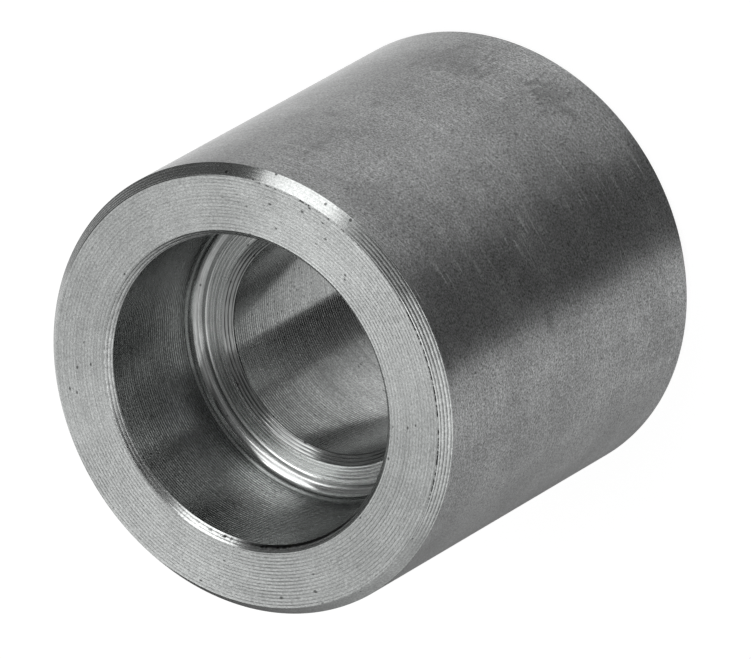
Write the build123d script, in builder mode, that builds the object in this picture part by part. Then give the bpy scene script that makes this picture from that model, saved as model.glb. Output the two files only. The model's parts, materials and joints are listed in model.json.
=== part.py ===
from build123d import *
import os

# Half coupling, turned from solid bar: a socket for a welded pipe at one end, a plain end at the other.
# Z runs along the bore. The plain end stands on Z = 0, and the socket opens upwards.
# All sizes are in millimetres.

# Pipe that the socket takes, nominal size DN 15
pipe_diameter = 21.3

# Socket, pipe stop and bore
socket_clearance = 0.7
socket_depth = 10.4
pipe_stop_width = 3.05

# Body
socket_wall = 5.0
laying_length = 21.1

# Edge breaks at the socket end
socket_face_chamfer_width = 0.65
socket_face_chamfer_height = 0.77
mouth_chamfer = 0.45

# Edge breaks at the plain end
plain_end_chamfer = 0.7
bore_exit_chamfer = 0.4

# Pipe stop: corner left by the nose of the boring bar, eased bore edge and the ring where the facing cut ended
corner_radius = 1.0
bore_entry_chamfer_width = 0.7
bore_entry_chamfer_height = 0.4
stop_ring_land = 0.05
stop_ring_width = 0.16
stop_ring_depth = 0.06

# Sizes that follow
socket_radius = (pipe_diameter + socket_clearance) / 2
bore_radius = socket_radius - pipe_stop_width
body_radius = socket_radius + socket_wall
overall_length = laying_length + socket_depth
stop_ring_outer_radius = socket_radius - corner_radius - stop_ring_land
stop_ring_inner_radius = stop_ring_outer_radius - stop_ring_width
stop_ring_middle_radius = stop_ring_outer_radius - stop_ring_width / 2

with BuildPart() as half_coupling:
    # The wall as a half section, turned about the bore axis
    with BuildSketch(Plane.XZ) as wall_section:
        with BuildLine() as wall_outline:
            Polyline(
                (bore_radius, 0),
                (body_radius, 0),
                (body_radius, overall_length),
                (socket_radius, overall_length),
                (socket_radius, laying_length),
                (bore_radius, laying_length),
                close=True,
            )
        make_face()
    revolve(axis=Axis.Z)

    # Each turned edge is a full circle, so height and then radius pick one out
    rings = half_coupling.edges().filter_by(GeomType.CIRCLE).group_by(Axis.Z)
    bore_exit, plain_end_rim = rings[0].sort_by(SortBy.RADIUS)
    bore_entry, socket_corner = rings[1].sort_by(SortBy.RADIUS)
    mouth_rim, socket_face_rim = rings[2].sort_by(SortBy.RADIUS)

    planes = half_coupling.faces().filter_by(GeomType.PLANE).sort_by(Axis.Z)
    pipe_stop = planes[1]
    socket_face = planes[2]

    # Edge breaks, the wider ones measured along the flat face that they start from
    chamfer(
        socket_face_rim,
        length=socket_face_chamfer_width,
        length2=socket_face_chamfer_height,
        reference=socket_face,
    )
    chamfer(
        bore_entry,
        length=bore_entry_chamfer_width,
        length2=bore_entry_chamfer_height,
        reference=pipe_stop,
    )
    chamfer(mouth_rim, length=mouth_chamfer)
    chamfer(plain_end_rim, length=plain_end_chamfer)
    chamfer(bore_exit, length=bore_exit_chamfer)

    # The boring bar's nose leaves a rounded corner at the foot of the socket
    fillet(socket_corner, radius=corner_radius)

    # Shallow vee ring scored in the pipe stop where the facing cut ended
    with BuildSketch(Plane.XZ) as stop_ring_section:
        with BuildLine() as stop_ring_outline:
            Polyline(
                (stop_ring_inner_radius, laying_length),
                (stop_ring_middle_radius, laying_length - stop_ring_depth),
                (stop_ring_outer_radius, laying_length),
                close=True,
            )
        make_face()
    revolve(axis=Axis.Z, mode=Mode.SUBTRACT)

half_coupling.part.label = "half_coupling"

os.makedirs("parts", exist_ok=True)
export_step(half_coupling.part, "parts/half_coupling.step")
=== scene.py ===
"""Dresses a turned steel half coupling, standing on its plain end on a pale studio floor."""

import json
import logging
import math
from dataclasses import dataclass
from enum import Enum

import bpy
import numpy as np
from mathutils import Matrix, Vector


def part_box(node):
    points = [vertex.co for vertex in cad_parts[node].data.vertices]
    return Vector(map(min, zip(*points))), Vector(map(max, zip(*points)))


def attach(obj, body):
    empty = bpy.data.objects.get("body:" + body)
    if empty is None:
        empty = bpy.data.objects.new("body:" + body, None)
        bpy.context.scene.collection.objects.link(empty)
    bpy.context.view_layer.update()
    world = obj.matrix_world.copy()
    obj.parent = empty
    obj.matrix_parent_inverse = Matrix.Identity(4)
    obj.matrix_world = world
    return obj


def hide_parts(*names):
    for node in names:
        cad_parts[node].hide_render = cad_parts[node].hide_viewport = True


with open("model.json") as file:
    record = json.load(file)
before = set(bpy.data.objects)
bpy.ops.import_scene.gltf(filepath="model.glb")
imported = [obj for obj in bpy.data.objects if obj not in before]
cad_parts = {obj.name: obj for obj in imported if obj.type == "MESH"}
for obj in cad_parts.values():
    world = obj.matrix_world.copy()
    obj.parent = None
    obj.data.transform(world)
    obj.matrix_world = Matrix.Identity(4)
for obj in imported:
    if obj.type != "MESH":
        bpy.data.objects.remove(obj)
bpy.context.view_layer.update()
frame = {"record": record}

BODY = "root"
NODE = "half_coupling"
MM = 0.001

Source = bpy.types.Node | bpy.types.NodeSocket

log = logging.getLogger("half_coupling")


def linear(hex_colour: str) -> tuple[float, float, float, float]:
    """Turn an sRGB hex colour into linear values.

    Args:
        hex_colour: Six hex digits after a hash sign.

    Returns:
        Linear red, green, blue and an alpha of one.
    """
    channels = [int(hex_colour[place : place + 2], 16) / 255 for place in (1, 3, 5)]
    red, green, blue = (c / 12.92 if c <= 0.04045 else ((c + 0.055) / 1.055) ** 2.4 for c in channels)
    return red, green, blue, 1.0


def add_node(
    tree: bpy.types.NodeTree, kind: str, settings: dict | None = None, links: dict | None = None
) -> bpy.types.Node:
    """Add one shader node with its settings and links.

    Args:
        tree: The node tree that gets the node.
        kind: The node's type, without its ShaderNode prefix.
        settings: Properties by name, and input values by index or by socket name.
        links: What feeds each input: a socket, or a node for its first output.

    Returns:
        The new node.
    """
    node = tree.nodes.new("ShaderNode" + kind)
    for name, value in (settings or {}).items():
        if isinstance(name, str) and hasattr(node, name):
            setattr(node, name, value)
        else:
            node.inputs[name].default_value = value
    for name, source in (links or {}).items():
        socket = source.outputs[0] if isinstance(source, bpy.types.Node) else source
        tree.links.new(socket, node.inputs[name])
    return node


def empty_tree(owner: bpy.types.Material | bpy.types.World) -> bpy.types.NodeTree:
    """Give a material or a world a node tree with nothing in it.

    Args:
        owner: The material or world.

    Returns:
        Its tree.
    """
    owner.use_nodes = True
    owner.node_tree.nodes.clear()
    return owner.node_tree


def deselect_all() -> None:
    """Leave nothing selected, as the loaded CAD nodes are at first."""
    for other in bpy.context.selected_objects:
        other.select_set(False)
    bpy.context.view_layer.objects.active = None


def read_points(parts: bpy.types.bpy_prop_collection, name: str) -> np.ndarray:
    """Read one point for each vertex or face of a mesh.

    Args:
        parts: The mesh's vertices or faces.
        name: What the point is called there.

    Returns:
        The points in millimetres, one in each row.
    """
    flat = np.empty(len(parts) * 3)
    parts.foreach_get(name, flat)
    return flat.reshape(-1, 3) / MM


def direction(azimuth: float, elevation: float) -> Vector:
    """Unit vector at an azimuth from +X and an elevation, both in degrees."""
    turn, rise = math.radians(azimuth), math.radians(elevation)
    return Vector((math.cos(turn) * math.cos(rise), math.sin(turn) * math.cos(rise), math.sin(rise)))


class Zone(Enum):
    """The surfaces of the fitting, each with a cut and a finish of its own."""

    PLAIN_END = "plain_end"
    PLAIN_END_BREAK = "plain_end_break"
    BARREL = "barrel"
    SOCKET_FACE_BREAK = "socket_face_break"
    SOCKET_FACE = "socket_face"
    MOUTH_BREAK = "mouth_break"
    SOCKET_WALL = "socket_wall"
    SOCKET_CORNER = "socket_corner"
    PIPE_STOP = "pipe_stop"
    STOP_RING = "stop_ring"
    BORE_ENTRY = "bore_entry"
    BORE = "bore"
    BORE_EXIT = "bore_exit"


class FeedHand(Enum):
    """Which way the tool's spiral winds on a surface."""

    NONE = 0
    FORWARD = 1
    BACKWARD = -1


class Across(Enum):
    """The direction in which a surface's tool marks follow each other."""

    RADIUS = "radius"
    HEIGHT = "height"
    CORNER = "corner"


@dataclass(frozen=True)
class Stretch:
    """A straight stretch of the turned outline, in millimetres, walked with the metal on its left."""

    zone: Zone
    start: tuple[float, float]
    end: tuple[float, float]
    hand: FeedHand = FeedHand.NONE
    cuts: int = 0
    travel_before: float = 0.0

    def length(self) -> float:
        """Length of the stretch in millimetres."""
        return math.dist(self.start, self.end)

    def outward(self) -> tuple[float, float]:
        """Unit normal out of the metal, as radius and height."""
        along = self.length()
        return (self.end[1] - self.start[1]) / along, (self.start[0] - self.end[0]) / along

    def locate(self, radius: np.ndarray, height: np.ndarray) -> tuple[np.ndarray, np.ndarray]:
        """Find the points that lie on this stretch.

        Args:
            radius: Distance of each point from the bore axis, in millimetres.
            height: Height of each point, in millimetres.

        Returns:
            Whether each point is on the stretch, and how far along it the point lies.
        """
        tolerance = 0.002
        along = self.length()
        normal_radius, normal_height = self.outward()
        right, up = radius - self.start[0], height - self.start[1]
        travel = up * normal_radius - right * normal_height
        off = right * normal_radius + up * normal_height
        inside = (travel > -tolerance) & (travel < along + tolerance)
        return inside & (np.abs(off) < tolerance), travel


@dataclass(frozen=True)
class LatheCut:
    """A pointed lathe tool's cut: its feed for each turn and the radius of its nose, in millimetres."""

    feed: float = 0.24
    nose_radius: float = 0.55
    edge_fade: float = 0.05
    uneven: float = 0.35
    samples_per_feed: int = 10
    seed: int = 7

    def cuts(self, length: float) -> int:
        """How many cuts divide a stretch of this length finely enough to hold the grooves."""
        return max(1, round(length / self.feed * self.samples_per_feed) - 1)

    def depth(self, stretch: Stretch, travel: np.ndarray, angle: np.ndarray) -> np.ndarray:
        """Work out how deep the tool's spiral groove is at each point.

        Args:
            stretch: The stretch that is cut.
            travel: Distance of each point along it.
            angle: Each point's angle about the bore axis, from -pi to pi.

        Returns:
            Depth below the nominal surface, in millimetres. The ridges stay on it.
        """
        turn = (angle + math.pi) / (2 * math.pi)
        hand = stretch.hand.value
        length = stretch.length()
        position = (travel + stretch.travel_before) / self.feed + hand * turn
        groove = np.floor(position).astype(int)
        phase = position - groove
        # Spare rows at both ends take the groove numbers that the spiral's turn adds.
        first_row, spare_rows = 2, 6
        rows = int((length + stretch.travel_before) / self.feed) + spare_rows
        scatter = np.random.default_rng(self.seed).uniform(1 - self.uneven, 1, rows)
        here = scatter[(groove + first_row) % rows]
        after = scatter[(groove + first_row - hand) % rows]
        scallop = self.feed**2 / (8 * self.nose_radius) * (1 - (2 * phase - 1) ** 2)
        fade = np.clip(np.minimum(travel, length - travel) / self.edge_fade, 0, 1)
        return scallop * fade * (here * (1 - turn) + after * turn)


class LathePlace:
    """Where a shaded point lies on the turned surface, in millimetres and in turns about the axis."""

    def __init__(
        self, tree: bpy.types.NodeTree, across: Across, reach: float, corner: tuple[float, float, float]
    ) -> None:
        """Add the nodes that find the place.

        Args:
            tree: The material's nodes.
            across: The direction in which the marks follow each other.
            reach: Radius of the surface in millimetres, which sets how long a streak comes out.
            corner: Radius and height of the rounded corner's centre, and its own radius.
        """
        self.tree = tree
        self.reach = reach
        metres = add_node(tree, "TexCoord").outputs["Object"]
        self.position = add_node(tree, "Mapping", {"Scale": (1 / MM,) * 3}, {"Vector": metres})
        parts = add_node(tree, "SeparateXYZ", {}, {"Vector": self.position}).outputs
        flat = add_node(tree, "CombineXYZ", {}, {"X": parts["X"], "Y": parts["Y"]})
        radius = add_node(tree, "VectorMath", {"operation": "LENGTH"}, {0: flat}).outputs["Value"]
        self.spoke = add_node(tree, "VectorMath", {"operation": "NORMALIZE"}, {0: flat})
        angle = add_node(tree, "Math", {"operation": "ARCTAN2"}, {0: parts["Y"], 1: parts["X"]})
        self.turn = add_node(tree, "Math", {"operation": "DIVIDE", 1: 2 * math.pi}, {0: angle})
        upward = {"operation": "CROSS_PRODUCT", 0: (0.0, 0.0, 1.0)}
        self.tangent = add_node(tree, "VectorMath", upward, {1: self.spoke})
        self.run = radius if across is Across.RADIUS else parts["Z"]
        if across is Across.CORNER:
            self.run = self.round_run(radius, parts["Z"], corner)

    def round_run(self, radius: Source, height: Source, corner: tuple[float, float, float]) -> Source:
        """Measure how far up the rounded corner a point lies, along its arc from the pipe stop.

        Args:
            radius: The point's distance from the bore axis.
            height: Its height.
            corner: Radius and height of the arc's centre, and its own radius.

        Returns:
            The distance in millimetres.
        """
        out = add_node(self.tree, "Math", {"operation": "SUBTRACT", 1: corner[0]}, {0: radius})
        down = add_node(self.tree, "Math", {"operation": "SUBTRACT", 0: corner[1]}, {1: height})
        rise = add_node(self.tree, "Math", {"operation": "ARCTAN2"}, {0: out, 1: down})
        return add_node(self.tree, "Math", {"operation": "MULTIPLY", 1: corner[2]}, {0: rise})

    def streaked(self, length: float, width: float, slant: float = 0.0) -> Source:
        """Stretch space so that a unit noise comes out as streaks round the axis, with no seam.

        Args:
            length: Length of a streak along the marks, in millimetres.
            width: Its width across them, in millimetres.
            slant: How much the streaks climb for each millimetre on the side of +X.

        Returns:
            The vector for a noise node of scale one.
        """
        stretch = {"operation": "SCALE", "Scale": self.reach / length}
        round_axis = add_node(self.tree, "VectorMath", stretch, {0: self.spoke})
        side = add_node(self.tree, "SeparateXYZ", {}, {"Vector": self.position}).outputs["Y"]
        lean = {"operation": "MULTIPLY_ADD", 1: slant}
        climb = add_node(self.tree, "Math", lean, {0: side, 2: self.run})
        step = add_node(self.tree, "Math", {"operation": "DIVIDE", 1: width}, {0: climb})
        across = add_node(self.tree, "CombineXYZ", {}, {"Z": step})
        return add_node(self.tree, "VectorMath", {"operation": "ADD"}, {0: round_axis, 1: across})


@dataclass(frozen=True)
class Steel:
    """What every steel surface of the fitting shares. Lengths are in millimetres.

    The corner is only read across a rounded corner: the radius and height of its centre, and
    its own radius.
    """

    name: str
    colour: str
    roughness: float
    anisotropy: float
    across: Across
    reach: float
    corner: tuple[float, float, float] = (0.0, 0.0, 1.0)

    def build(self) -> bpy.types.Material:
        """Make the material.

        Returns:
            The finished material.
        """
        material = bpy.data.materials.new(self.name)
        tree = empty_tree(material)
        place = LathePlace(tree, self.across, self.reach, self.corner)
        # The quarter turn lays the blur across the marks, which run along the tangent.
        quarter_turn = 0.25
        constants = {
            "Base Color": linear(self.colour),
            "Metallic": 1.0,
            "Roughness": self.roughness,
            "Anisotropic": self.anisotropy,
            "Anisotropic Rotation": quarter_turn,
        }
        links = {"Tangent": place.tangent} | self.dress(place)
        shader = add_node(tree, "BsdfPrincipled", constants, links)
        add_node(tree, "OutputMaterial", {}, {"Surface": shader})
        return material

    def dress(self, place: LathePlace) -> dict[str, Source]:
        """Make the surface's own pattern, which plain steel has none of.

        Args:
            place: Where the shaded point is.

        Returns:
            What feeds the steel's shader, by the name of its input.
        """
        return {}

    def tint(self, place: LathePlace, under: Source | None, gain: Source) -> Source:
        """Multiply a colour by a gain.

        Args:
            place: Where the shaded point is.
            under: The colour before, or None for the steel's own.
            gain: The factor.

        Returns:
            The colour after.
        """
        settings = {"operation": "MULTIPLY"}
        if under is None:
            own = {0: linear(self.colour)[:3]}
            return add_node(place.tree, "VectorMath", settings | own, {1: gain})
        return add_node(place.tree, "VectorMath", settings, {0: under, 1: gain})

    def shade(self, place: LathePlace, under: Source, mask: Source, factor: float) -> Source:
        """Multiply a colour by a factor where a mask is one.

        Args:
            place: Where the shaded point is.
            under: The colour before.
            mask: Zero to one.
            factor: What the colour is multiplied by at a mask of one.

        Returns:
            The colour after.
        """
        gain = add_node(place.tree, "MapRange", {"To Min": 1.0, "To Max": factor}, {"Value": mask})
        return self.tint(place, under, gain)

    def vary(self, place: LathePlace, under: Source | None, noise: Source, amount: float) -> Source:
        """Make a colour lighter and darker with a noise.

        Args:
            place: Where the shaded point is.
            under: The colour before, or None for the steel's own.
            noise: The noise, about a quarter to three quarters.
            amount: The share by which the colour changes at those ends.

        Returns:
            The colour after.
        """
        span = {"From Min": 0.25, "From Max": 0.75, "To Min": 1 - amount, "To Max": 1 + amount}
        gain = add_node(place.tree, "MapRange", span, {"Value": noise})
        return self.tint(place, under, gain)


@dataclass(frozen=True)
class Arc:
    """A stretch of the way round the axis, in degrees from +X towards +Y, and its strength."""

    middle: float = 0.0
    half: float = 180.0
    strength: float = 1.0
    soft_end: float = 12.0


@dataclass(frozen=True)
class Burr:
    """A ragged line along one edge: a dark burr where its tone is below one, and a painted
    highlight where it is above. Its run and width are in millimetres.

    The cover is the share of the arc that it fills: a low one leaves separate dots.
    """

    run: float
    width: float = 0.09
    arc: Arc = Arc()
    cover: float = 0.5
    piece_length: float = 0.7
    piece_width: float = 0.5
    core: float = 0.4
    # Below one darkens the edge as a burr; above one paints a highlight along it.
    tone: float = 0.08


@dataclass(frozen=True)
class CutSteel(Steel):
    """Stainless steel left by a pointed tool: a fine spiral of cuts between raised ridges.

    The cuts are glossy along the marks and blurred across them. The ridges are rough, so they
    show as dark lines where the surface mirrors something bright, and as bright ones where it
    mirrors something dark. On the arcs given, their colour is also darkened as painted shade.
    Torn specks break the lines up.
    """

    colour: str = "#AAACAB"
    roughness: float = 0.24
    anisotropy: float = 0.75
    across: Across = Across.RADIUS
    reach: float = 13.0
    start: float = 0.0
    travel_per_run: float = -1.0
    feed: float = 0.24
    hand: FeedHand = FeedHand.NONE
    bump_depth: float = 0.0
    # Painted shade: the colour on the ridges is multiplied by this, only on the ridge arcs.
    ridge_tone: float = 0.95
    ridge_roughness: float = 0.28
    ridge_width: float = 0.3
    # The real grain is finer than a pixel. It is drawn just over a pixel wide, so that it shows.
    grain_length: float = 0.15
    grain_width: float = 0.09
    grain_tone: float = 0.35
    grain_depth: float = 0.0012
    # Single deeper scores, as the tool's edge picks up chips.
    score_length: float = 14.0
    score_width: float = 0.12
    score_tone: float = 0.1
    score_depth: float = 0.0
    cloud_size: float = 2.4
    cloud_tone: float = 0.1
    speck_size: float = 0.1
    speck_spacing: float = 0.6
    speck_stretch: float = 1.5
    speck_patch: float = 5.0
    speck_tone: float = 0.25
    # The arcs where the ridges get their painted shade and their roughness.
    ridge_arcs: tuple[Arc, ...] = (Arc(),)
    burrs: tuple[Burr, ...] = ()

    def dress(self, place: LathePlace) -> dict[str, Source]:
        """Add the ridges with their painted shade, the grain, the scores, the torn specks, and the dark
        burr and painted highlight lines along the edges.

        Args:
            place: Where the shaded point is.

        Returns:
            What feeds the steel's shader, by the name of its input.
        """
        tree = place.tree
        off_centre = add_node(
            tree, "Math", {"operation": "SUBTRACT", 1: 0.5}, {0: self.find_phase(place)}
        )
        ridges = self.find_ridges(place, off_centre)
        fine = place.streaked(self.grain_length, self.grain_width)
        grain = add_node(tree, "TexNoise", {"Scale": 1.0, "Roughness": 0.6}, {"Vector": fine})
        long_drawn = place.streaked(self.score_length, self.score_width)
        scores = add_node(tree, "TexNoise", {"Scale": 1.0, "Detail": 1.0}, {"Vector": long_drawn})
        wide = {"Scale": 1 / self.cloud_size, "Detail": 3.0}
        clouds = add_node(tree, "TexNoise", wide, {"Vector": place.position})
        colour = self.vary(place, None, grain, self.grain_tone)
        colour = self.vary(place, colour, scores, self.score_tone)
        colour = self.vary(place, colour, clouds, self.cloud_tone)
        # Painted shade along the ridges.
        colour = self.shade(place, colour, ridges, self.ridge_tone)
        colour = self.shade(place, colour, self.find_specks(place), self.speck_tone)
        # Dark burr lines, and painted highlight lines where a tone is above one.
        for burr in self.burrs:
            colour = self.shade(place, colour, self.find_burr(place, burr), burr.tone)
        span = {"To Min": self.roughness, "To Max": self.ridge_roughness}
        rough = add_node(tree, "MapRange", span, {"Value": ridges})
        normal = add_node(tree, "Bump", {"Distance": self.grain_depth * MM}, {"Height": grain})
        if self.score_depth:
            depth = {"Distance": self.score_depth * MM}
            normal = add_node(tree, "Bump", depth, {"Height": scores, "Normal": normal})
        if self.bump_depth:
            square = {"operation": "MULTIPLY"}
            bowl = add_node(tree, "Math", square, {0: off_centre, 1: off_centre})
            # The bowl is a quarter deep at its rims, so four times the depth makes it full.
            depth = {"Distance": 4 * self.bump_depth * MM}
            normal = add_node(tree, "Bump", depth, {"Height": bowl, "Normal": normal})
        return {"Base Color": colour, "Roughness": rough, "Normal": normal}

    def find_phase(self, place: LathePlace) -> Source:
        """Find how far across its cut the shaded point is, in step with the grooves of the mesh.

        Args:
            place: Where the shaded point is.

        Returns:
            Zero at one ridge and one at the next.
        """
        tree = place.tree
        travel = add_node(tree, "Math", {"operation": "SUBTRACT", 1: self.start}, {0: place.run})
        per_cut = {"operation": "MULTIPLY", 1: self.travel_per_run / self.feed}
        cuts = add_node(tree, "Math", per_cut, {0: travel})
        winding = {"operation": "MULTIPLY_ADD", 1: float(self.hand.value)}
        spiral = add_node(tree, "Math", winding, {0: place.turn, 2: cuts})
        # The mesh counts its turns from -X, half a turn from where the angle is zero.
        shifted = add_node(tree, "Math", {"operation": "ADD", 1: 0.5}, {0: spiral})
        return add_node(tree, "Math", {"operation": "FRACT"}, {0: shifted})

    def find_ridges(self, place: LathePlace, off_centre: Source) -> Source:
        """Find the ridges between the cuts, broken up here and there, on the arcs that get their
        painted shade.

        Args:
            place: Where the shaded point is.
            off_centre: How far across its cut it lies, from minus a half to a half.

        Returns:
            The ridge's strength, zero in the middle of a cut.
        """
        tree = place.tree
        distance = add_node(tree, "Math", {"operation": "ABSOLUTE"}, {0: off_centre})
        rise = {"interpolation_type": "SMOOTHSTEP", "From Min": 0.5 - self.ridge_width, "From Max": 0.5}
        near = add_node(tree, "MapRange", rise, {"Value": distance})
        tear_length = 2 * self.grain_length
        short = place.streaked(tear_length, self.feed)
        torn = add_node(tree, "TexNoise", {"Scale": 1.0, "Detail": 1.0}, {"Vector": short})
        gaps = {"From Min": 0.3, "From Max": 0.6, "To Min": 0.4}
        strength = add_node(tree, "MapRange", gaps, {"Value": torn})
        ridges = add_node(tree, "Math", {"operation": "MULTIPLY"}, {0: near, 1: strength})
        arcs = self.find_arcs(place, self.ridge_arcs)
        return add_node(tree, "Math", {"operation": "MULTIPLY"}, {0: ridges, 1: arcs})

    def find_arcs(self, place: LathePlace, arcs: tuple[Arc, ...]) -> Source:
        """Add up the strengths of the arcs that the shaded point lies in.

        Args:
            place: Where the shaded point is.
            arcs: The arcs, each with soft ends.

        Returns:
            The strength.
        """
        # Keeps a whole circle's two ends apart, so that it has full strength all round.
        margin = 0.01
        total = None
        for arc in arcs:
            towards = {"operation": "DOT_PRODUCT", 1: direction(arc.middle, 0.0)}
            near = add_node(place.tree, "VectorMath", towards, {0: place.spoke}).outputs["Value"]
            reach = {
                "From Min": math.cos(math.radians(min(180.0, arc.half + arc.soft_end))) - margin,
                "From Max": math.cos(math.radians(arc.half)),
                "To Max": arc.strength,
            }
            inside = add_node(place.tree, "MapRange", reach, {"Value": near})
            if total is not None:
                inside = add_node(place.tree, "Math", {"operation": "ADD"}, {0: total, 1: inside})
            total = inside
        return total

    def find_burr(self, place: LathePlace, burr: Burr) -> Source:
        """Find the ragged line along a stretch of one edge, which is a dark burr below a tone of one
        and a painted highlight above it.

        Args:
            place: Where the shaded point is.
            burr: The line, with its tone.

        Returns:
            One in the line, otherwise zero.
        """
        tree = place.tree
        off = add_node(tree, "Math", {"operation": "SUBTRACT", 1: burr.run}, {0: place.run})
        distance = add_node(tree, "Math", {"operation": "ABSOLUTE"}, {0: off})
        band = {"From Min": burr.width, "From Max": burr.width * burr.core}
        close = add_node(tree, "MapRange", band, {"Value": distance})
        ragged = {"Scale": 1.0, "Detail": 3.0, "Roughness": 0.7}
        chips = place.streaked(burr.piece_length, burr.piece_width)
        torn = add_node(tree, "TexNoise", ragged, {"Vector": chips})
        # A cover of a half puts this step close to the middle of the noise.
        kept = {"From Min": 0.98 - burr.cover, "From Max": 1.06 - burr.cover}
        pieces = add_node(tree, "MapRange", kept, {"Value": torn})
        arc = self.find_arcs(place, (burr.arc,))
        edge = add_node(tree, "Math", {"operation": "MULTIPLY"}, {0: arc, 1: close})
        return add_node(tree, "Math", {"operation": "MULTIPLY"}, {0: edge, 1: pieces})

    def find_specks(self, place: LathePlace) -> Source:
        """Find the small dark tears that the tool leaves here and there.

        Args:
            place: Where the shaded point is.

        Returns:
            One in a tear, otherwise zero.
        """
        tree = place.tree
        grid = place.streaked(self.speck_spacing * self.speck_stretch, self.speck_spacing)
        cells = add_node(tree, "TexVoronoi", {"Scale": 1.0}, {"Vector": grid}).outputs
        size = self.speck_size / self.speck_spacing
        disc = {"From Min": size, "From Max": size * 0.5}
        spot = add_node(tree, "MapRange", disc, {"Value": cells["Distance"]})
        pick = add_node(tree, "SeparateColor", {}, {"Color": cells["Color"]})
        wide = {"Scale": 1 / self.speck_patch, "Detail": 1.0}
        patches = add_node(tree, "TexNoise", wide, {"Vector": place.position})
        # From one cell in thirty outside the patches to three in five inside them.
        rarity = {"From Min": 0.45, "From Max": 0.7, "To Min": 0.97, "To Max": 0.4}
        share = add_node(tree, "MapRange", rarity, {"Value": patches})
        some = add_node(tree, "Math", {"operation": "GREATER_THAN"}, {0: pick, 1: share})
        return add_node(tree, "Math", {"operation": "MULTIPLY"}, {0: spot, 1: some})


@dataclass(frozen=True)
class Mark:
    """One lighter or darker mark on the barrel: an oval with a ragged edge. Lengths are in millimetres.

    The angle is in degrees from +X towards +Y, and the slant in degrees from the level.
    """

    angle: float
    height: float
    length: float
    width: float
    tone: float
    slant: float = 0.0
    ragged: float = 0.0


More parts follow.
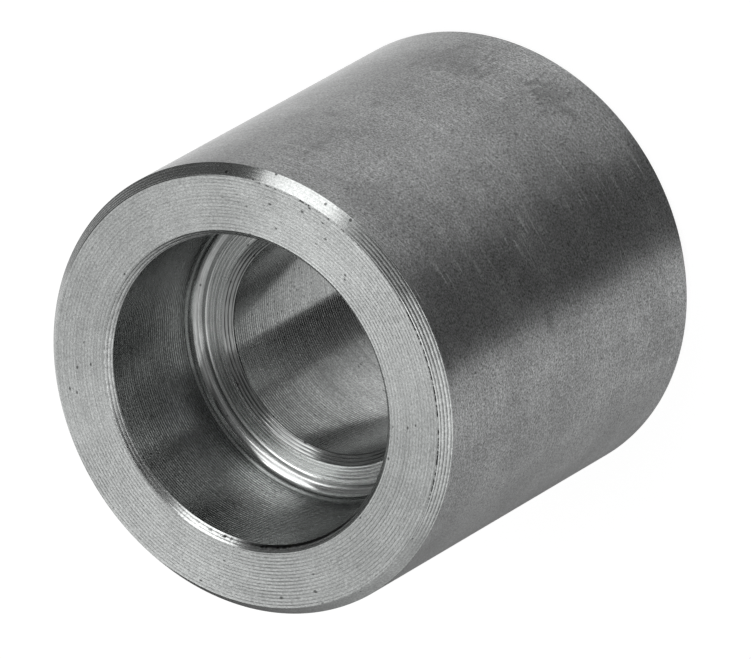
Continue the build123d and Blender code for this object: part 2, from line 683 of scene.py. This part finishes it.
@dataclass(frozen=True)
class BarrelSteel(Steel):
    """Cold-drawn and pickled stainless bar: a dull grey skin with a fine mottle.

    Soft darker blotches, thin scratches round the barrel, a few pits, and some lighter and darker
    ovals and lines. The mottle keeps the reflections soft.
    """

    name: str = "pickled_barrel"
    colour: str = "#8B8C8C"
    roughness: float = 0.3
    anisotropy: float = 0.25
    across: Across = Across.HEIGHT
    reach: float = 16.0
    # The real pickled grain is finer than a pixel. It is drawn just over a pixel wide.
    mottle_length: float = 0.14
    mottle_width: float = 0.085
    mottle_tone: float = 0.9
    mottle_depth: float = 0.002
    mottle_waviness: float = 0.4
    blotch_size: float = 6.0
    blotch_tone: float = 0.22
    scratch_length: float = 3.5
    scratch_width: float = 0.08
    scratch_tone: float = 1.24
    scratch_rarity: float = 0.7
    scratch_softness: float = 0.05
    scratch_slants: tuple[float, ...] = (-0.2, -0.08, 0.0, 0.1)
    pit_size: float = 0.1
    pit_spacing: float = 2.6
    pit_tone: float = 0.3
    rag_length: float = 0.5
    rag_width: float = 1.2
    marks: tuple[Mark, ...] = (
        Mark(27.0, 4.4, 3.8, 3.6, 0.72, ragged=0.6),
        Mark(52.0, 5.8, 6.0, 5.0, 0.78, ragged=0.8),
        Mark(38.0, 7.0, 7.0, 6.0, 0.88, ragged=0.9),
        Mark(77.5, 17.0, 0.35, 24.0, 0.86, ragged=0.3),
        Mark(65.0, 20.4, 3.0, 0.8, 0.85, slant=20.0, ragged=0.6),
        Mark(48.5, 25.3, 0.7, 4.4, 0.8, ragged=0.5),
        Mark(57.0, 19.3, 1.6, 1.0, 0.7, ragged=0.6),
        Mark(51.5, 16.3, 0.8, 1.4, 0.75, ragged=0.5),
        Mark(81.0, 24.9, 1.2, 1.6, 0.75, ragged=0.5),
        Mark(-22.0, 17.8, 2.2, 0.9, 0.78, ragged=0.6),
        Mark(-38.0, 4.0, 5.0, 4.0, 0.88, ragged=0.9),
        Mark(-4.0, 17.5, 3.6, 0.09, 1.7),
        Mark(-3.0, 15.6, 3.2, 0.09, 1.6),
        Mark(13.0, 9.2, 4.4, 0.1, 1.6),
        Mark(37.0, 15.8, 5.6, 0.08, 1.35, slant=-2.0),
        Mark(-1.5, 19.4, 0.1, 4.6, 1.35),
    )

    def dress(self, place: LathePlace) -> dict[str, Source]:
        """Add the mottle, the blotches, the scratches, the pits and the lighter and darker marks.

        Args:
            place: Where the shaded point is.

        Returns:
            What feeds the steel's shader, by the name of its input.
        """
        tree = place.tree
        fine = {"Scale": 1.0, "Roughness": 0.6, "Distortion": self.mottle_waviness}
        grid = place.streaked(self.mottle_length, self.mottle_width)
        mottle = add_node(tree, "TexNoise", fine, {"Vector": grid})
        wide = {"Scale": 1 / self.blotch_size, "Detail": 3.0, "Roughness": 0.6}
        blotches = add_node(tree, "TexNoise", wide, {"Vector": place.position})
        colour = self.vary(place, None, mottle, self.mottle_tone)
        colour = self.vary(place, colour, blotches, self.blotch_tone)
        for slant in self.scratch_slants:
            scratches = self.find_scratches(place, slant)
            colour = self.shade(place, colour, scratches, self.scratch_tone)
        colour = self.shade(place, colour, self.find_pits(place), self.pit_tone)
        rags = self.find_rags(place)
        for mark in self.marks:
            colour = self.shade(place, colour, self.find_mark(place, mark, rags), mark.tone)
        bump = add_node(tree, "Bump", {"Distance": self.mottle_depth * MM}, {"Height": mottle})
        return {"Base Color": colour, "Normal": bump}

    def find_scratches(self, place: LathePlace, slant: float) -> Source:
        """Find thin light scratches as the crests of a long-drawn noise.

        Args:
            place: Where the shaded point is.
            slant: How much they climb for each millimetre.

        Returns:
            One in a scratch, otherwise zero.
        """
        drawn = place.streaked(self.scratch_length, self.scratch_width, slant)
        lines = add_node(place.tree, "TexNoise", {"Scale": 1.0, "Detail": 0.0}, {"Vector": drawn})
        full = self.scratch_rarity + self.scratch_softness
        crest = {"From Min": self.scratch_rarity, "From Max": full}
        return add_node(place.tree, "MapRange", crest, {"Value": lines})

    def find_rags(self, place: LathePlace) -> Source:
        """Make the noise that tears the marks' edges, in short strokes along the barrel.

        Args:
            place: Where the shaded point is.

        Returns:
            About -1 to 1.
        """
        short = place.streaked(self.rag_length, self.rag_width)
        rough = {"Scale": 1.0, "Detail": 3.0, "Roughness": 0.6}
        strokes = add_node(place.tree, "TexNoise", rough, {"Vector": short})
        span = {"From Min": 0.3, "From Max": 0.7, "To Min": -1.0}
        return add_node(place.tree, "MapRange", span, {"Value": strokes})

    def find_mark(self, place: LathePlace, mark: Mark, rags: Source) -> Source:
        """Find one lighter or darker oval mark.

        Args:
            place: Where the shaded point is.
            mark: The mark.
            rags: The noise that tears its edge.

        Returns:
            One inside the mark, otherwise zero.
        """
        tree = place.tree
        turn = math.radians(mark.angle)
        oval = {
            "vector_type": "TEXTURE",
            "Location": (self.reach * math.cos(turn), self.reach * math.sin(turn), mark.height),
            "Rotation": (math.radians(mark.slant), 0.0, turn),
            "Scale": (self.reach / 2, mark.length / 2, mark.width / 2),
        }
        local = add_node(tree, "Mapping", oval, {"Vector": place.position})
        distance = add_node(tree, "VectorMath", {"operation": "LENGTH"}, {0: local}).outputs["Value"]
        tear = {"operation": "MULTIPLY_ADD", 1: mark.ragged}
        torn = add_node(tree, "Math", tear, {0: rags, 2: distance})
        soft_edge = {"From Min": 1.1, "From Max": 0.6}
        return add_node(tree, "MapRange", soft_edge, {"Value": torn})

    def find_pits(self, place: LathePlace) -> Source:
        """Find the small dark pits.

        Args:
            place: Where the shaded point is.

        Returns:
            One in a pit, otherwise zero.
        """
        spread = {"Scale": 1 / self.pit_spacing}
        cells = add_node(place.tree, "TexVoronoi", spread, {"Vector": place.position}).outputs
        size = self.pit_size / self.pit_spacing
        disc = {"From Min": size, "From Max": size * 0.5}
        return add_node(place.tree, "MapRange", disc, {"Value": cells["Distance"]})


@dataclass
class HalfCoupling:
    """The fitting itself: one piece of steel, turned all over. Sizes are in millimetres."""

    socket_depth: float = 10.4
    socket_face_break_width: float = 0.65
    socket_face_break_height: float = 0.77
    mouth_break: float = 0.45
    plain_end_break: float = 0.7
    bore_exit_break: float = 0.4
    corner_radius: float = 1.0
    corner_steps: int = 16
    bore_entry_width: float = 0.7
    bore_entry_height: float = 0.4
    stop_ring_land: float = 0.05
    stop_ring_width: float = 0.16
    stop_ring_depth: float = 0.06
    segments: int = 256
    wall_cuts: int = 9
    weld_distance: float = 0.001
    smooth_angle: float = 30.0
    cut: LatheCut = LatheCut()
    facing_cut: LatheCut = LatheCut(nose_radius=1.2)

    def __post_init__(self) -> None:
        """Take the main sizes from the CAD node and the record's mounts."""
        low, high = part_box(NODE)
        mounts = {mount["name"]: mount for mount in frame["record"]["mounts"]}
        self.length = (high.z - low.z) / MM
        self.body_radius = mounts["body_outside"]["dims"]["r_mm"]
        self.socket_radius = mounts["socket"]["dims"]["r_mm"]
        self.bore_radius = mounts["flow_bore"]["dims"]["r_mm"]
        self.stop_height = self.length - self.socket_depth

    def outline(self) -> list[Stretch]:
        """Lay out the section's stretches in order, from the bore's exit round by the barrel.

        Returns:
            The closed outline. The socket's corner is still sharp.
        """
        face = self.length
        stop = self.stop_height
        ring_outer = self.socket_radius - self.corner_radius - self.stop_ring_land
        ring_inner = ring_outer - self.stop_ring_width
        ring_foot = ((ring_outer + ring_inner) / 2, stop - self.stop_ring_depth)
        face_outer = self.body_radius - self.socket_face_break_width
        none, forward, backward = FeedHand.NONE, FeedHand.FORWARD, FeedHand.BACKWARD
        plan = [
            (Zone.PLAIN_END, (self.bore_radius + self.bore_exit_break, 0.0), none),
            (Zone.PLAIN_END_BREAK, (self.body_radius - self.plain_end_break, 0.0), none),
            (Zone.BARREL, (self.body_radius, self.plain_end_break), none),
            (Zone.SOCKET_FACE_BREAK, (self.body_radius, face - self.socket_face_break_height), forward),
            (Zone.SOCKET_FACE, (face_outer, face), forward),
            (Zone.MOUTH_BREAK, (self.socket_radius + self.mouth_break, face), forward),
            (Zone.SOCKET_WALL, (self.socket_radius, face - self.mouth_break), none),
            (Zone.PIPE_STOP, (self.socket_radius, stop), backward),
            (Zone.STOP_RING, (ring_outer, stop), none),
            (Zone.STOP_RING, ring_foot, none),
            (Zone.PIPE_STOP, (ring_inner, stop), backward),
            (Zone.BORE_ENTRY, (self.bore_radius + self.bore_entry_width, stop), backward),
            (Zone.BORE, (self.bore_radius, stop - self.bore_entry_height), none),
            (Zone.BORE_EXIT, (self.bore_radius, self.bore_exit_break), none),
        ]
        stretches = []
        for (zone, start, hand), (_, end, _) in zip(plan, plan[1:] + plan[:1]):
            cuts = self.wall_cuts if zone in (Zone.BARREL, Zone.SOCKET_WALL, Zone.BORE) else 0
            if hand is not none:
                cuts = self.cut.cuts(math.dist(start, end))
            before = self.socket_radius - start[0] if zone is Zone.PIPE_STOP else 0.0
            stretches.append(Stretch(zone, start, end, hand, cuts, before))
        return stretches

    def draw_outline(self, outline: list[Stretch]) -> bpy.types.Object:
        """Draw the half section as a closed chain of edges.

        Args:
            outline: The stretches, in order.

        Returns:
            The object that holds the chain, in the plane Y = 0.
        """
        deselect_all()
        bpy.ops.mesh.primitive_circle_add(vertices=len(outline), radius=self.body_radius * MM)
        piece = bpy.context.active_object
        piece.name = piece.data.name = "turned_body"
        for vertex, stretch in zip(piece.data.vertices, outline):
            vertex.co = (stretch.start[0] * MM, 0.0, stretch.start[1] * MM)
        return piece

    def select_on(self, piece: bpy.types.Object, stretch: Stretch) -> None:
        """Select the edge of the chain that runs along a stretch.

        Args:
            piece: The chain, in edit mode at the call and after it.
            stretch: The stretch to find.
        """
        bpy.ops.mesh.select_all(action="DESELECT")
        bpy.ops.object.mode_set(mode="OBJECT")
        points = read_points(piece.data.vertices, "co")
        on, _ = stretch.locate(points[:, 0], points[:, 2])
        for edge in piece.data.edges:
            edge.select = bool(all(on[list(edge.vertices)]))
        bpy.ops.object.mode_set(mode="EDIT")

    def round_corner(self, piece: bpy.types.Object) -> None:
        """Round the socket's corner as the boring bar's nose does.

        Args:
            piece: The chain, in edit mode at the call and after it.
        """
        bpy.ops.mesh.select_all(action="DESELECT")
        bpy.ops.object.mode_set(mode="OBJECT")
        corner = Vector((self.socket_radius * MM, 0.0, self.stop_height * MM))
        nearest = min(piece.data.vertices, key=lambda vertex: (vertex.co - corner).length)
        nearest.select = True
        bpy.ops.object.mode_set(mode="EDIT")
        bpy.ops.mesh.bevel(
            offset=self.corner_radius * MM,
            segments=self.corner_steps,
            affect="VERTICES",
            profile=0.5,
            clamp_overlap=False,
        )

    def spin(self) -> None:
        """Turn the selected outline once about the bore axis and close the seam."""
        bpy.ops.mesh.select_all(action="SELECT")
        bpy.ops.mesh.spin(steps=self.segments, angle=2 * math.pi, center=(0, 0, 0), axis=(0, 0, 1))
        bpy.ops.mesh.select_all(action="SELECT")
        bpy.ops.mesh.remove_doubles(threshold=self.weld_distance * MM)
        bpy.ops.mesh.normals_make_consistent(inside=False)
        bpy.ops.mesh.select_all(action="DESELECT")

    def finishes(self) -> dict[Zone, Steel]:
        """List the finishes of the zones that have one of their own.

        Returns:
            Each zone's finish.
        """
        slope = math.hypot(self.socket_face_break_width, self.socket_face_break_height)
        entry = math.hypot(self.bore_entry_width, self.bore_entry_height)
        face_rim = self.body_radius - self.socket_face_break_width
        mouth_rim = self.socket_radius + self.mouth_break
        bore_rim = self.stop_height - self.bore_entry_height
        corner_inner = self.socket_radius - self.corner_radius
        corner_top = self.stop_height + self.corner_radius
        return {
            # Parted off and faced in one pass: even rings with a low sheen.
            Zone.PLAIN_END: CutSteel("plain_end_turned", bump_depth=0.012),
            # Drawn and pickled, never turned: a dull, even grey with soft reflections.
            Zone.BARREL: BarrelSteel(),
            # Two or three hard feed lines round a bright bevel, their ridges painted dark as shade on
            # two arcs, about the near side and the far side.
            Zone.SOCKET_FACE_BREAK: CutSteel(
                "face_break_turned", reach=15.7, start=self.body_radius,
                travel_per_run=-slope / self.socket_face_break_width, hand=FeedHand.FORWARD,
                ridge_tone=0.3, ridge_roughness=0.3, grain_tone=0.25,
                ridge_arcs=(Arc(-22.0, 36.0, 1.0), Arc(174.0, 34.0, 0.9)),
            ),
            # Fine rings with painted shade on their ridges in arcs where they catch less light, torn
            # bits at the rim, and a painted highlight line along the rim near 92 degrees.
            Zone.SOCKET_FACE: CutSteel(
                "face_turned", colour="#AEB0AF", roughness=0.22, start=face_rim,
                hand=FeedHand.FORWARD, ridge_tone=0.55, ridge_roughness=0.5,
                ridge_arcs=(Arc(-150.0, 34.0, 0.9), Arc(28.0, 34.0, 0.6), Arc(-55.0, 60.0, 0.35)),
                burrs=(
                    Burr(face_rim - 0.05, 0.12, Arc(-26.0, 22.0), 0.52, 0.35),
                    Burr(face_rim - 0.05, 0.12, Arc(30.0, 16.0), 0.46, 0.3),
                    Burr(face_rim, 0.1, Arc(7.0, 7.0), 0.8, 0.8),
                    Burr(face_rim, 0.1, Arc(92.0, 20.0), 0.8, 2.0),
                ),
            ),
            # A narrow bright bevel, its ridges painted dark as shade on two arcs, with a ragged dark
            # line where the tool left the mouth.
            Zone.MOUTH_BREAK: CutSteel(
                "mouth_break_turned", colour="#C1C3C2", reach=11.2, start=mouth_rim,
                travel_per_run=-math.sqrt(2), hand=FeedHand.FORWARD, ridge_tone=0.4,
                ridge_roughness=0.34, ridge_arcs=(Arc(150.0, 78.0, 1.0), Arc(-80.0, 50.0, 1.0)),
                burrs=(
                    Burr(mouth_rim - 0.38, 0.14, Arc(-101.0, 17.0), 0.66, 0.8),
                    Burr(mouth_rim - 0.3, 0.12, Arc(-125.0, 12.0), 0.48, 0.3),
                ),
            ),
            # Bored: close fine lines and many small tears. The wall's colour is darker than the other
            # steel's, as painted shade inside the socket, its ridges are painted dark as shade, and a
            # ragged dark band runs near its top.
            Zone.SOCKET_WALL: CutSteel(
                "socket_bored", colour="#9C9E9D", roughness=0.15, anisotropy=0.6,
                across=Across.HEIGHT, reach=self.socket_radius, bump_depth=0.01, ridge_tone=0.35,
                ridge_roughness=0.4, grain_tone=0.8, grain_depth=0.004, score_tone=0.2,
                score_depth=0.0006, cloud_tone=0.12, speck_size=0.09, speck_spacing=0.4,
                speck_patch=3.0,
                burrs=(Burr(self.length - 0.8, 0.5, Arc(-106.0, 22.0), 0.42, 0.22),),
            ),
            # Faced by the side of the tool: a silky ring with a few long scores. Its colour is lighter
            # than the other steel's, as painted light, and its ridges carry painted shade.
            Zone.PIPE_STOP: CutSteel(
                "stop_turned", colour="#E9EBEA", roughness=0.26, reach=9.5,
                start=self.socket_radius, hand=FeedHand.BACKWARD, ridge_tone=0.72,
                ridge_roughness=0.36, ridge_width=0.15, grain_length=1.6, grain_tone=0.16,
                grain_depth=0.0006, score_tone=0.25, score_depth=0.0008,
            ),
            # Formed by the round nose: almost a mirror, drawn out in thin light and dark lines, the
            # dark ones partly painted shade on the ridges.
            Zone.SOCKET_CORNER: CutSteel(
                "corner_formed", colour="#C5C7C6", roughness=0.16, anisotropy=0.7,
                across=Across.CORNER, reach=self.socket_radius,
                corner=(corner_inner, corner_top, self.corner_radius), start=self.corner_radius,
                hand=FeedHand.BACKWARD, ridge_tone=0.85, ridge_roughness=0.25, ridge_width=0.2,
                grain_length=0.5, grain_tone=0.12, grain_depth=0.0004, score_tone=0.4,
                score_width=0.14,
            ),
            # Eased with three or four deep passes, whose ridges are painted as dark rings of shade
            # round the bore.
            Zone.BORE_ENTRY: CutSteel(
                "bore_entry_turned", colour="#A7A9A8", roughness=0.15, reach=8.3,
                start=self.bore_radius + self.bore_entry_width,
                travel_per_run=-entry / self.bore_entry_width, hand=FeedHand.BACKWARD,
                ridge_tone=0.12, ridge_roughness=0.3, grain_length=0.8, grain_tone=0.2,
            ),
            # Drilled: soft long reflections under fine rings, pitted, with a darker stretch along its
            # upper edge and a painted highlight along that edge from 100 to 260 degrees.
            Zone.BORE: CutSteel(
                "bore_drilled", colour="#A7A9A8", roughness=0.17, anisotropy=0.5,
                across=Across.HEIGHT, reach=self.bore_radius, bump_depth=0.008, ridge_tone=0.92,
                ridge_roughness=0.25, grain_tone=0.5, grain_depth=0.0024, score_tone=0.15,
                score_depth=0.0004, cloud_tone=0.15, speck_size=0.09, speck_spacing=0.36,
                speck_patch=3.0,
                burrs=(
                    Burr(bore_rim, 0.1, Arc(180.0, 80.0), 0.85, 2.0),
                    Burr(bore_rim, 0.22, Arc(152.0, 16.0), 0.6, 0.5),
                ),
            ),
        }

    def dress(self, piece: bpy.types.Object, outline: list[Stretch]) -> None:
        """Give each zone's faces the material of its finish.

        Args:
            piece: The spun body, before its tool marks are cut.
            outline: The outline that it was spun from.
        """
        shared = {
            Zone.PLAIN_END_BREAK: Zone.PLAIN_END,
            Zone.STOP_RING: Zone.PIPE_STOP,
            Zone.BORE_EXIT: Zone.BORE,
        }
        places = {}
        for place, (zone, finish) in enumerate(self.finishes().items()):
            piece.data.materials.append(finish.build())
            places[zone] = place
        centres = read_points(piece.data.polygons, "center")
        # A flat facet's centre lies a little inside the circle that its corners are on.
        radius = np.hypot(centres[:, 0], centres[:, 1]) / math.cos(math.pi / self.segments)
        slots = np.full(len(centres), places[Zone.SOCKET_CORNER])
        for stretch in outline:
            on, _ = stretch.locate(radius, centres[:, 2])
            slots[on] = places[shared.get(stretch.zone, stretch.zone)]
        piece.data.polygons.foreach_set("material_index", slots)

    def cut_tool_marks(self, piece: bpy.types.Object, outline: list[Stretch]) -> None:
        """Sink the tool's spiral groove into the faces that show it.

        Args:
            piece: The spun body.
            outline: The outline that it was spun from.
        """
        points = read_points(piece.data.vertices, "co")
        radius = np.hypot(points[:, 0], points[:, 1])
        angle = np.arctan2(points[:, 1], points[:, 0])
        height = points[:, 2].copy()
        moved_radius, moved_height = radius.copy(), height.copy()
        for stretch in outline:
            if stretch.hand is FeedHand.NONE:
                continue
            on, travel = stretch.locate(radius, height)
            cut = self.facing_cut if stretch.zone is Zone.SOCKET_FACE else self.cut
            depth = cut.depth(stretch, travel, angle)
            normal_radius, normal_height = stretch.outward()
            moved_radius[on] -= depth[on] * normal_radius
            moved_height[on] -= depth[on] * normal_height
        columns = [moved_radius * np.cos(angle), moved_radius * np.sin(angle), moved_height]
        moved = np.stack(columns, axis=1)
        piece.data.vertices.foreach_set("co", (moved * MM).ravel())
        piece.data.update()

    def build(self) -> bpy.types.Object:
        """Model the body, dress it and let it stand for the CAD node.

        Returns:
            The finished piece.
        """
        outline = self.outline()
        piece = self.draw_outline(outline)
        bpy.ops.object.mode_set(mode="EDIT")
        self.round_corner(piece)
        for stretch in outline:
            if stretch.cuts:
                self.select_on(piece, stretch)
                bpy.ops.mesh.subdivide(number_cuts=stretch.cuts)
        self.spin()
        bpy.ops.object.mode_set(mode="OBJECT")
        self.dress(piece, outline)
        self.cut_tool_marks(piece, outline)
        bpy.ops.object.shade_smooth_by_angle(angle=math.radians(self.smooth_angle))
        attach(piece, BODY)
        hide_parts(NODE)
        return piece


@dataclass
class Card:
    """A studio card or flag that only mirror-like surfaces see, bent to stay at one distance.

    Azimuth runs from +X towards +Y and elevation from the horizon up. Both, and the width and
    the height, are degrees as seen from the fitting, and the tones are those of the lower left,
    lower right, upper left and upper right corners. Left is the end of lesser azimuth.
    """

    name: str
    azimuth: float
    elevation: float
    width: float
    height: float
    tones: tuple[float, float, float, float]
    distance: float
    bends: int = 16

    def build(self, aim: Vector) -> bpy.types.Object:
        """Hang the card so that it faces the fitting.

        Args:
            aim: The point that it faces.

        Returns:
            The card.
        """
        deselect_all()
        bpy.ops.mesh.primitive_grid_add(x_subdivisions=self.bends, y_subdivisions=self.bends, size=2.0)
        card = bpy.context.active_object
        card.name = card.data.name = self.name
        turn = direction(self.azimuth, self.elevation).to_track_quat("Z", "Y").to_matrix()
        half_width = math.tan(math.radians(self.width / 2))
        half_height = math.tan(math.radians(self.height / 2))
        for vertex in card.data.vertices:
            flat = Vector((vertex.co.x * half_width, vertex.co.y * half_height, 1.0))
            vertex.co = aim + turn @ flat.normalized() * self.distance
        card.data.materials.append(self.dress())
        card.visible_camera = card.visible_diffuse = card.visible_shadow = False
        return card

    def dress(self) -> bpy.types.Material:
        """Make the card's tone, which runs evenly between its corners.

        Returns:
            The card's material.
        """
        # Lit card or black cloth: it is only seen mirrored in the steel, and lights nothing.
        material = bpy.data.materials.new(self.name + "_tone")
        tree = empty_tree(material)
        material.cycles.emission_sampling = "NONE"
        place = add_node(tree, "TexCoord").outputs["UV"]
        parts = add_node(tree, "SeparateXYZ", {}, {"Vector": place}).outputs
        low, high = (
            add_node(tree, "MapRange", {"To Min": left, "To Max": right}, {"Value": parts["X"]})
            for left, right in (self.tones[:2], self.tones[2:])
        )
        up_the_card = {"Value": parts["Y"], "To Min": low, "To Max": high}
        tone = add_node(tree, "MapRange", {}, up_the_card)
        glow = add_node(tree, "Emission", {}, {"Color": tone})
        add_node(tree, "OutputMaterial", {}, {"Surface": glow})
        return material


@dataclass
class Studio:
    """A pale floor, a white surround, one soft box and a few cards."""

    floor_size: float = 8.0
    floor_colour: str = "#7C7C7C"
    floor_glow: float = 0.89
    room_light: float = 0.7
    key_azimuth: float = 62.9
    key_elevation: float = 31.4
    key_width: float = 0.47
    key_height: float = 0.85
    key_distance: float = 0.8
    key_radiance: float = 0.90
    cards: tuple[Card, ...] = (
        Card("left_low_card", -108.3, -14.8, 112.7, 115.9, (0.00, 0.95, 0.00, 1.92), 1.60),
        Card("left_high_card", -86.2, 46.7, 93.8, 56.2, (0.00, 0.90, 0.49, 0.78), 1.54),
        Card("top_card", -28.7, 84.6, 34.6, 69.1, (0.20, 1.15, 1.86, 3.58), 1.48),
        Card("rear_card", -46.4, 2.7, 94.8, 45.0, (1.72, 2.42, 0.68, 2.98), 1.42),
        Card("right_low_card", 112.5, -35.6, 82.3, 28.0, (0.00, 0.74, 0.24, 0.51), 1.36),
        Card("front_low_card", 33.4, -43.5, 54.5, 45.0, (0.20, 0.68, 0.00, 1.94), 1.30),
        Card("front_flag", -17.0, -46.9, 32.5, 42.8, (0.01, 0.17, 0.00, 0.00), 1.24),
        Card("right_flag", 122.8, 22.0, 85.5, 74.6, (0.03, 0.27, 0.13, 0.22), 1.18),
        Card("camera_flag", -13.6, 63.0, 30.9, 75.0, (0.17, 0.00, 0.32, 0.23), 1.12),
        Card("camera_low_flag", 21.8, 49.4, 43.6, 46.5, (0.00, 0.00, 0.03, 0.44), 1.06),
        Card("soft_box_face", 62.9, 31.4, 32.6, 56.1, (3.03, 1.07, 0.00, 1.58), 1.00),
        Card("rear_low_card", 181.0, -54.0, 32.0, 34.0, (1.40, 1.80, 1.40, 1.80), 1.66),
    )

    def background_mask(self, tree: bpy.types.NodeTree) -> Source:
        """Tell rays that show the background, straight or in metal and glass, from lighting rays.

        Args:
            tree: The floor's or the world's nodes.

        Returns:
            One for camera, glossy and transmission rays, and otherwise zero.
        """
        path = add_node(tree, "LightPath").outputs
        either = {"operation": "MAXIMUM"}
        mirrored = add_node(tree, "Math", either, {0: path["Is Camera Ray"], 1: path["Is Glossy Ray"]})
        return add_node(tree, "Math", either, {0: mirrored, 1: path["Is Transmission Ray"]})

    def light_room(self) -> None:
        """Make the white surround, at full strength where it is seen and plainer as a light."""
        world = bpy.data.worlds.new("white_room")
        bpy.context.scene.world = world
        tree = empty_tree(world)
        span = {"To Min": self.room_light, "To Max": 1.0}
        strength = add_node(tree, "MapRange", span, {"Value": self.background_mask(tree)})
        white = {"Color": linear("#FFFFFF")}
        glow = add_node(tree, "Background", white, {"Strength": strength})
        add_node(tree, "OutputWorld", {}, {"Surface": glow})

    def lay_floor(self) -> bpy.types.Object:
        """Lay the pale floor, which keeps a soft shadow under the fitting.

        Returns:
            The floor.
        """
        deselect_all()
        bpy.ops.mesh.primitive_plane_add(size=self.floor_size)
        floor = bpy.context.active_object
        floor.name = floor.data.name = "studio_floor"
        # Matt paint, lit by a glow of its own: an even white ground that still takes a soft shadow.
        material = bpy.data.materials.new("pale_floor")
        tree = empty_tree(material)
        paint = add_node(tree, "BsdfDiffuse", {"Color": linear(self.floor_colour)})
        seen = {"operation": "MULTIPLY", 1: self.floor_glow}
        level = add_node(tree, "Math", seen, {0: self.background_mask(tree)})
        glow = add_node(tree, "Emission", {}, {"Strength": level})
        both = add_node(tree, "AddShader", {}, {0: paint, 1: glow})
        add_node(tree, "OutputMaterial", {}, {"Surface": both})
        floor.data.materials.append(material)
        floor.visible_glossy = False
        return floor

    def hang_soft_box(self, aim: Vector) -> bpy.types.Object:
        """Hang the soft box that gives the bright edge lights.

        Args:
            aim: The point that it faces.

        Returns:
            The lamp.
        """
        lamp_data = bpy.data.lights.new("soft_box", "AREA")
        lamp_data.shape = "RECTANGLE"
        lamp_data.size, lamp_data.size_y = self.key_width, self.key_height
        lamp_data.energy = self.key_radiance * math.pi * self.key_width * self.key_height
        lamp = bpy.data.objects.new("soft_box", lamp_data)
        bpy.context.scene.collection.objects.link(lamp)
        away = direction(self.key_azimuth, self.key_elevation)
        facing = away.to_track_quat("Z", "Y").to_matrix().to_4x4()
        lamp.matrix_world = Matrix.Translation(aim + away * self.key_distance) @ facing
        lamp.visible_camera = False
        return lamp

    def build(self, aim: Vector) -> list[bpy.types.Object]:
        """Set the whole studio up.

        Args:
            aim: The middle of the fitting.

        Returns:
            The floor, the lamp and the cards.
        """
        self.light_room()
        things = [self.lay_floor(), self.hang_soft_box(aim)]
        return things + [card.build(aim) for card in self.cards]


@dataclass
class PhotoCamera:
    """The photograph's long lens, looking down into the socket and rolled to the picture's tilt."""

    lens_mm: float = 897.13
    sensor_mm: float = 36.0
    distance: float = 1.27331
    azimuth: float = 0.0484
    elevation: float = 52.124
    roll: float = -119.709
    aim_side: float = -0.66
    aim_height: float = 15.768
    clip: tuple[float, float] = (0.1, 10.0)

    def build(self) -> bpy.types.Object:
        """Place the camera and make it the scene's own.

        Returns:
            The camera.
        """
        data = bpy.data.cameras.new("photo_camera")
        data.lens = self.lens_mm
        data.sensor_width = self.sensor_mm
        data.clip_start, data.clip_end = self.clip
        camera = bpy.data.objects.new("photo_camera", data)
        bpy.context.scene.collection.objects.link(camera)
        aim = Vector((0.0, self.aim_side * MM, self.aim_height * MM))
        away = direction(self.azimuth, self.elevation)
        level = away.to_track_quat("Z", "Y").to_matrix().to_4x4()
        rolled = level @ Matrix.Rotation(math.radians(self.roll), 4, "Z")
        camera.matrix_world = Matrix.Translation(aim + away * self.distance) @ rolled
        bpy.context.scene.camera = camera
        return camera


def main() -> None:
    """Build the camera, the fitting and the studio."""
    logging.basicConfig(level=logging.INFO, format="%(name)s: %(message)s")
    bpy.context.scene.view_settings.view_transform = "Standard"
    camera = PhotoCamera().build()
    log.info("%s: %.0f mm lens at %.3f m", camera.name, camera.data.lens, PhotoCamera.distance)
    piece = HalfCoupling().build()
    log.info("%s: %d points, %d faces", piece.name, len(piece.data.vertices), len(piece.data.polygons))
    low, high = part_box(NODE)
    for thing in Studio().build((low + high) / 2):
        log.info("%s: in the studio", thing.name)


if __name__ == "__main__":
    main()
